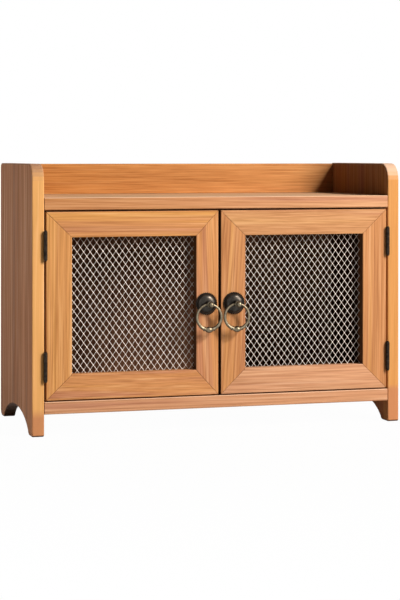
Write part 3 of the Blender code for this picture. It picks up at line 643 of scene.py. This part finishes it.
def strandFamily(name, middle, slope):
    pitchX, pitchZ = (pitch * mm for pitch in latticeLook["pitch"])
    rise = pitchX * math.tan(math.radians(latticeLook["rowSlope"]))
    stepX, stepZ = pitchX / 2, (slope * pitchZ + rise) / 2
    run = math.hypot(stepX, stepZ)
    thick, wide = latticeLook["strandThick"] * mm, latticeLook["strandWide"] * mm
    swell = latticeLook["nodeSwell"]
    weld = latticeLook["weldWithin"] * mm
    bpy.ops.object.select_all(action="DESELECT")
    bpy.ops.mesh.primitive_cube_add(size=1.0)
    strand = bpy.context.object
    strand.name = name
    strand.scale = (run, thick, wide)
    applyPlace()
    openEdit(strand)
    pick(strand, "edges", lambda spot, way: abs(way.x) > run / 2)
    bpy.ops.mesh.subdivide(number_cuts=latticeLook["cuts"])
    pick(strand, "faces", lambda spot, normal: abs(normal.x) > 0.9)
    bpy.ops.mesh.delete(type="ONLY_FACE")
    pick(strand, "verts", lambda spot, normal: abs(spot.x) > run * 0.49)
    bpy.ops.transform.resize(value=(1, swell, swell), center_override=(0, 0, 0))
    closeEdit()
    runs, bars = latticeLook["runs"], latticeLook["bars"]
    addModifier(strand, "ARRAY", count=runs, use_relative_offset=False, use_constant_offset=True,
                constant_offset_displace=(run, 0, 0), use_merge_vertices=True, merge_threshold=weld)
    strand.rotation_euler = (math.radians(latticeLook["lean"]), -math.atan2(stepZ, stepX), 0)
    phase = Vector((latticeLook["phase"][0], 0, latticeLook["phase"][1])) * mm
    halfBar = Vector((stepX, 0, stepZ)) * (runs - 1) / 2
    strand.location = middle + phase - halfBar - Vector((pitchX, 0, rise)) * (bars // 2)
    applyPlace()
    addModifier(strand, "ARRAY", count=bars, use_relative_offset=False, use_constant_offset=True,
                constant_offset_displace=(pitchX, 0, rise))
    return strand


# cuts one family at a time, whose strands lie clear of each other, so that each gets its own caps
def cutToSheet(strands, sheet):
    openEdit(strands)
    trim = Vector((1, 0, 1)) * latticeLook["trim"] * mm
    for edge, away in ((sheet[0] + trim, (-1, 0, 0)), (sheet[1] - trim, (1, 0, 0)),
                       (sheet[0] + trim, (0, 0, -1)), (sheet[1] - trim, (0, 0, 1))):
        bpy.ops.mesh.select_all(action="SELECT")
        bpy.ops.mesh.bisect(plane_co=edge, plane_no=away, use_fill=True, clear_outer=True)
    closeEdit()


def makeLattices():
    low, high = windowOf("left")
    sheets = {door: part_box(f"{door}_door_mesh") for door in doors}
    middle = (low + high) / 2
    middle.y = (sheets["left"][0].y + sheets["left"][1].y) / 2
    falling = strandFamily("left_diamond_mesh", middle, -1)
    rising = strandFamily("left_rising_strands", middle, 1)
    shiftX, shiftZ = (part * mm for part in latticeLook["rightShift"])
    across = windowOf("right")[0].x - low.x
    others = [copyOf(strands, strands.name.replace("left", "right"), (across + shiftX, 0, shiftZ))
              for strands in (falling, rising)]
    for door, families in zip(doors, ((falling, rising), others)):
        for strands in families:
            cutToSheet(strands, sheets[door])
        lattice = joinInto(families[0], families[1:])
        finishPiece(lattice, f"{door}_door", "zinc plated steel mesh", "zinc_mesh", f"{door}_door_mesh")
        print(door, "diamond mesh:", len(lattice.data.polygons), "faces")


makeLattices()

# Ring pulls, sizes in mm: the backplate's steps are advance and radius from the door outwards
pullLook = {
    "plateSides": 72,
    "plateGap": 0.3,
    "plate": ((0.7, 11.3), (0.5, 10.9), (0.5, 10.3), (-0.3, 9.9), (0.0, 9.5)),
    "ribsFrom": 10.1,
    "ribsAbove": 1.1,        # the front corners of the rim lie higher than this over the door
    "ribInset": 0.93,        # every second rib is drawn in and dropped back
    "ribDrop": 0.35,
    "domeSteps": 9,
    "domeBase": 1.35,
    "domeRadius": 9.4,
    "domeHeight": 5.2,
    "bore": 2.4,
    "boreEase": 0.1,
    "boreDeep": 1.5,
    "shankRadius": 2.0,
    "studSides": 28,
    "neckRadius": 2.9,
    "neckStart": 5.5,
    "neckEnd": 13.5,
    "neckEase": 0.3,
    "grooveRadius": 1.9,
    "grooveWide": 0.25,
    "ballOffset": 16.34,
    "ballRadius": 3.0,
    "ballSteps": 9,
    "ballClose": 0.985,      # share of the half turn, a tiny flat is left
    "eyeOffset": 9.5,
    "eyeRadius": 1.7,
    "eyeSides": 24,
    "drillLong": 20.0,
    "ringRadius": 12.475,
    "ringSteps": 20,
    "wireSteps": 4,
    "wireTop": 1.05,
    "wireBottom": 1.8,
    "beadRadius": 3.0,
    "beadLength": 8.4,
    "beadSides": 24,
    "beadRows": 14,
    "collarRadius": 2.4,
    "collarWire": 0.55,
    "collarGap": 0.7,
    "collarSides": 24,
    "collarWireSides": 8,
    "turnedSmooth": 35,      # edges that bend more than this stay sharp, in degrees
    "ringSmooth": 45,
}


# a round piece drawn out of a cylinder, step by step towards the front
def turnPiece(name, back, steps, sides):
    rise, radius = steps[0]
    bpy.ops.object.select_all(action="DESELECT")
    bpy.ops.mesh.primitive_cylinder_add(vertices=sides, radius=radius * mm, depth=rise * mm,
                                        location=back - Vector((0, rise / 2 * mm, 0)),
                                        rotation=(math.pi / 2, 0, 0))
    piece = bpy.context.object
    piece.name = name
    applyPlace()
    openEdit(piece)
    pick(piece, "faces", lambda middle, normal: normal.y < -0.9)
    for advance, wider in steps[1:]:
        bpy.ops.mesh.extrude_region_move(TRANSFORM_OT_translate={"value": (0, -advance * mm, 0)})
        bpy.ops.transform.resize(value=(wider / radius, 1, wider / radius), center_override=back)
        radius = wider
    closeEdit()
    return piece


def makeBackplate(name, face):
    steps = list(pullLook["plate"])
    last = sum(advance for advance, radius in steps)
    span = pullLook["domeRadius"] - pullLook["neckRadius"]
    for step in range(pullLook["domeSteps"] + 1):
        angle = math.pi / 2 * step / pullLook["domeSteps"]
        level = pullLook["domeBase"] + (pullLook["domeHeight"] - pullLook["domeBase"]) * math.sin(angle)
        steps.append((level - last, pullLook["neckRadius"] + span * math.cos(angle)))
        last = level
    bore = pullLook["bore"]
    steps += [(0.0, bore + pullLook["boreEase"]), (-pullLook["boreDeep"], bore)]
    back = face - Vector((0, pullLook["plateGap"] * mm, 0))
    plate = turnPiece(name, back, steps, pullLook["plateSides"])
    openEdit(plate)
    turn = math.tau / pullLook["plateSides"]
    rim = pullLook["ribsFrom"] * mm
    front = face.y - pullLook["ribsAbove"] * mm

    def hollow(spot):
        around = math.atan2(spot.x - face.x, spot.z - face.z)
        return math.hypot(spot.x - face.x, spot.z - face.z) > rim and round(around / turn) % 2 == 0

    pick(plate, "verts", lambda spot, normal: spot.y < front and hollow(spot))
    bpy.ops.transform.translate(value=(0, pullLook["ribDrop"] * mm, 0))
    pick(plate, "verts", lambda spot, normal: hollow(spot))
    inset = pullLook["ribInset"]
    bpy.ops.transform.resize(value=(inset, 1, inset), center_override=face)
    closeEdit()
    smoothOver(plate, pullLook["turnedSmooth"])
    return plate


def makeStud(name, face, rear):
    neck = pullLook["neckRadius"]
    ease = pullLook["neckEase"]
    shank = (rear - face.y) / mm + pullLook["neckStart"]
    steps = [(shank, pullLook["shankRadius"]), (0.0, neck - ease), (ease, neck)]
    steps += [(pullLook["neckEnd"] - pullLook["neckStart"] - 2 * ease, neck), (ease, neck - ease)]
    steps += [(pullLook["grooveWide"], pullLook["grooveRadius"])]
    last = pullLook["neckEnd"] + pullLook["grooveWide"]
    start = math.asin(pullLook["grooveRadius"] / pullLook["ballRadius"])
    for step in range(1, pullLook["ballSteps"] + 1):
        angle = start + (math.pi * pullLook["ballClose"] - start) * step / pullLook["ballSteps"]
        level = pullLook["ballOffset"] - pullLook["ballRadius"] * math.cos(angle)
        steps.append((level - last, pullLook["ballRadius"] * math.sin(angle)))
        last = level
    stud = turnPiece(name, Vector((face.x, rear, face.z)), steps, pullLook["studSides"])
    bpy.ops.object.select_all(action="DESELECT")
    bpy.ops.mesh.primitive_cylinder_add(vertices=pullLook["eyeSides"], radius=pullLook["eyeRadius"] * mm,
                                        depth=pullLook["drillLong"] * mm,
                                        location=face - Vector((0, pullLook["eyeOffset"] * mm, 0)),
                                        rotation=(0, math.pi / 2, 0))
    drill = bpy.context.object
    addModifier(stud, "BOOLEAN", operation="DIFFERENCE", object=drill, solver="EXACT")
    bpy.data.objects.remove(drill)
    smoothOver(stud, pullLook["turnedSmooth"])
    return stud


def makeRing(name, face):
    radius = pullLook["ringRadius"] * mm
    centre = face - Vector((0, pullLook["eyeOffset"] * mm, radius))
    bpy.ops.object.select_all(action="DESELECT")
    bpy.ops.curve.primitive_bezier_circle_add(radius=radius, location=centre, rotation=(math.pi / 2, 0, 0))
    ring = bpy.context.object
    ring.name = name
    ring.data.bevel_depth = pullLook["wireBottom"] * mm
    ring.data.bevel_resolution = pullLook["wireSteps"]
    ring.data.resolution_u = pullLook["ringSteps"]
    thin = pullLook["wireTop"] / pullLook["wireBottom"]
    for point in ring.data.splines[0].bezier_points:
        point.radius = 1 + (thin - 1) * (point.co.y / radius + 1) / 2
    bpy.ops.object.convert(target="MESH")
    applyPlace()
    # a long bead at the lowest point, with a thin collar on each side of it
    bpy.ops.object.select_all(action="DESELECT")
    bpy.ops.mesh.primitive_uv_sphere_add(segments=pullLook["beadSides"], ring_count=pullLook["beadRows"],
                                         radius=pullLook["beadRadius"] * mm,
                                         location=centre - Vector((0, 0, radius)),
                                         rotation=(0, math.pi / 2, 0))
    bead = bpy.context.object
    bead.scale.z = pullLook["beadLength"] / 2 / pullLook["beadRadius"]
    applyPlace()
    extras = [bead]
    wire = pullLook["collarWire"]
    for way in (-1, 1):
        angle = way * (pullLook["beadLength"] / 2 + pullLook["collarGap"]) / pullLook["ringRadius"]
        outward = Vector((math.sin(angle), 0, -math.cos(angle)))
        bpy.ops.object.select_all(action="DESELECT")
        bpy.ops.mesh.primitive_torus_add(major_radius=(pullLook["collarRadius"] - wire) * mm,
                                         minor_radius=wire * mm,
                                         major_segments=pullLook["collarSides"],
                                         minor_segments=pullLook["collarWireSides"],
                                         location=centre + outward * radius,
                                         rotation=(0, math.pi / 2 - angle, 0))
        extras.append(bpy.context.object)
        applyPlace()
    for extra in extras:
        addModifier(ring, "BOOLEAN", operation="UNION", object=extra, solver="EXACT")
        bpy.data.objects.remove(extra)
    smoothOver(ring, pullLook["ringSmooth"])
    return ring


def makePulls():
    low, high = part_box("left_pull_backplate")
    face = Vector(((low.x + high.x) / 2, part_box("left_door_meeting_stile")[0].y, (low.z + high.z) / 2))
    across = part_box("right_pull_backplate")[0].x - low.x
    plate = makeBackplate("left_domed_backplate", face)
    stud = makeStud("left_eye_stud", face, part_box("left_pull_stud")[1].y)
    ring = makeRing("left_beaded_ring", face)
    for piece, node, body, finish in ((plate, "backplate", "door", "blackened bronze"),
                                      (stud, "stud", "door", "rubbed antique brass"),
                                      (ring, "ring", "ring", "rubbed antique brass")):
        other = copyOf(piece, piece.name.replace("left", "right"), (across, 0, 0))
        for door, twin in zip(doors, (piece, other)):
            finishPiece(twin, f"{door}_{body}", finish, "aged_bronze", f"{door}_pull_{node}")
    print("ring pulls made")


makePulls()

# Glue in the seam between back rail and top shelf, sizes in mm
seamLook = {"setBack": 0.6, "overlap": 0.02, "roundOff": 0.12, "roundSteps": 3}


def makeSeam():
    low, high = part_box("back_rail")
    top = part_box("top_shelf")[1].z
    deep = high.y - low.y - 2 * seamLook["setBack"] * mm
    bpy.ops.object.select_all(action="DESELECT")
    bpy.ops.mesh.primitive_cube_add(size=1.0, location=((low.x + high.x) / 2, (low.y + high.y) / 2,
                                                        (low.z + top) / 2))
    seam = bpy.context.object
    seam.name = "back_rail_glue_line"
    seam.scale = (high.x - low.x, deep, low.z - top + 2 * seamLook["overlap"] * mm)
    applyPlace()
    openEdit(seam)
    pick(seam, "edges", lambda middle, way: abs(way.x) > deep)
    bpy.ops.mesh.bevel(offset=seamLook["roundOff"] * mm, segments=seamLook["roundSteps"])
    closeEdit()
    finishPiece(seam, "carcass", "dried wood glue", "stained_wood")
    print("seam under the back rail closed")


makeSeam()

# Small fixings, sizes in mm: cross head screws in the fittings, brads in beads and back panel
screwLook = {"sides": 14, "radius": 1.5, "height": 0.8, "bevel": 0.18, "bevelSteps": 2, "smooth": 30,
             "slotLong": 1.7, "slotWide": 0.4, "slotDeep": 0.3}
bradLook = {"sides": 10, "radius": 0.6, "height": 0.6, "bevel": 0.15, "bevelSteps": 2, "smooth": 30}
hingeScrews = {"up": 8.5, "back": 4.8, "leafGap": 0.3, "proud": 0.12}
catchScrews = {"inset": 3.0, "down": 2.5}
strikeScrews = {"along": (0.25, 0.75), "proud": 0.15}
beadBrads = {"count": 3, "proud": 0.01}
panelBrads = {"count": 6, "inset": 6.0, "proud": 0.15}


# a round head whose top lies at the origin and looks up
def makeHead(name, look):
    bpy.ops.object.select_all(action="DESELECT")
    bpy.ops.mesh.primitive_cylinder_add(vertices=look["sides"], radius=look["radius"] * mm,
                                        depth=look["height"] * mm,
                                        location=(0, 0, -look["height"] / 2 * mm))
    head = bpy.context.object
    head.name = name
    applyPlace()
    openEdit(head)
    pick(head, "edges", lambda middle, way: middle.z > -0.01 * mm and abs(way.z) < 0.01 * mm)
    bpy.ops.mesh.bevel(offset=look["bevel"] * mm, segments=look["bevelSteps"])
    closeEdit()
    if "slotLong" in look:
        for turn in (0, math.pi / 2):
            bpy.ops.object.select_all(action="DESELECT")
            bpy.ops.mesh.primitive_cube_add(size=1.0, rotation=(0, 0, turn))
            slot = bpy.context.object
            slot.scale = (look["slotLong"] * mm, look["slotWide"] * mm, 2 * look["slotDeep"] * mm)
            applyPlace()
            addModifier(head, "BOOLEAN", operation="DIFFERENCE", object=slot, solver="EXACT")
            bpy.data.objects.remove(slot)
    smoothOver(head, look["smooth"])
    return head


# copies of one head at places with directions, joined to one piece
def scatter(head, name, spots, body, finish, slot):
    copies = [copyOf(head, name, place, way) for place, way in spots]
    piece = joinInto(copies[0], copies[1:])
    piece.name = name
    finishPiece(piece, body, finish, slot)


# the places of one door's screws and brads, and of the ones beside it in the carcass
def fixingSpots(door, inward):
    spots = {"door leaf": [], "panel leaf": [], "catch": [], "strike": [], "bead": []}
    for level in ("upper", "lower"):
        low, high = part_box(f"{door}_{level}_hinge_pin")
        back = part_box(f"{door}_{level}_hinge_door_leaf")[1].y - hingeScrews["back"] * mm
        aside = Vector(((hingeScrews["leafGap"] - hingeScrews["proud"]) * mm * inward, 0, 0))
        for up in (-1, 1):
            spot = Vector(((low.x + high.x) / 2, back, (low.z + high.z) / 2 + up * hingeScrews["up"] * mm))
            spots["panel leaf"].append((spot - aside, (inward, 0, 0)))
            spots["door leaf"].append((spot + aside, (-inward, 0, 0)))
    low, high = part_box(f"{door}_magnetic_catch")
    inset = catchScrews["inset"] * mm
    level = high.z - catchScrews["down"] * mm
    for x in (low.x + inset, high.x - inset):
        spots["catch"].append((Vector((x, (low.y + high.y) / 2, level)), (0, 0, -1)))
    low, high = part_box(f"{door}_strike_plate")
    proud = high.y + strikeScrews["proud"] * mm
    for share in strikeScrews["along"]:
        x = low.x + (high.x - low.x) * share
        spots["strike"].append((Vector((x, proud, (low.z + high.z) / 2)), (0, 1, 0)))
    for place in ("top", "bottom", "hinge", "meeting"):
        low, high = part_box(f"{door}_door_{place}_bead")
        along = 0 if place in ("top", "bottom") else 2
        for step in range(beadBrads["count"]):
            spot = (low + high) / 2
            spot[along] = low[along] + (high[along] - low[along]) * (step + 0.5) / beadBrads["count"]
            spot.y = high.y + beadBrads["proud"] * mm
            spots["bead"].append((spot, (0, 1, 0)))
    return spots


def makeFixings():
    screw = makeHead("screw_head", screwLook)
    brad = makeHead("brad_head", bradLook)
    iron, zinc = ("oil blackened iron", "dark_iron"), ("bright zinc plated steel", "steel")
    inCarcass = {"panel leaf": [], "catch": []}
    for door, inward in zip(doors, (1, -1)):
        spots = fixingSpots(door, inward)
        for use in inCarcass:
            inCarcass[use] += spots[use]
        scatter(screw, f"{door}_door_leaf_screws", spots["door leaf"], f"{door}_door", *iron)
        scatter(screw, f"{door}_strike_screws", spots["strike"], f"{door}_door", *zinc)
        scatter(brad, f"{door}_bead_brads", spots["bead"], f"{door}_door", *zinc)
    low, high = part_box("back_panel")
    rows = (low.z + panelBrads["inset"] * mm, high.z - panelBrads["inset"] * mm)
    count = panelBrads["count"]
    columns = [low.x + (high.x - low.x) * (step + 0.5) / count for step in range(count)]
    proud = high.y + panelBrads["proud"] * mm
    panelSpots = [(Vector((x, proud, z)), (0, 1, 0)) for z in rows for x in columns]
    scatter(screw, "panel_leaf_screws", inCarcass["panel leaf"], "carcass", *iron)
    scatter(screw, "catch_screws", inCarcass["catch"], "carcass", *zinc)
    scatter(brad, "back_panel_brads", panelSpots, "carcass", *zinc)
    for head in (screw, brad):
        bpy.data.objects.remove(head)
    print("screws and brads set")


makeFixings()
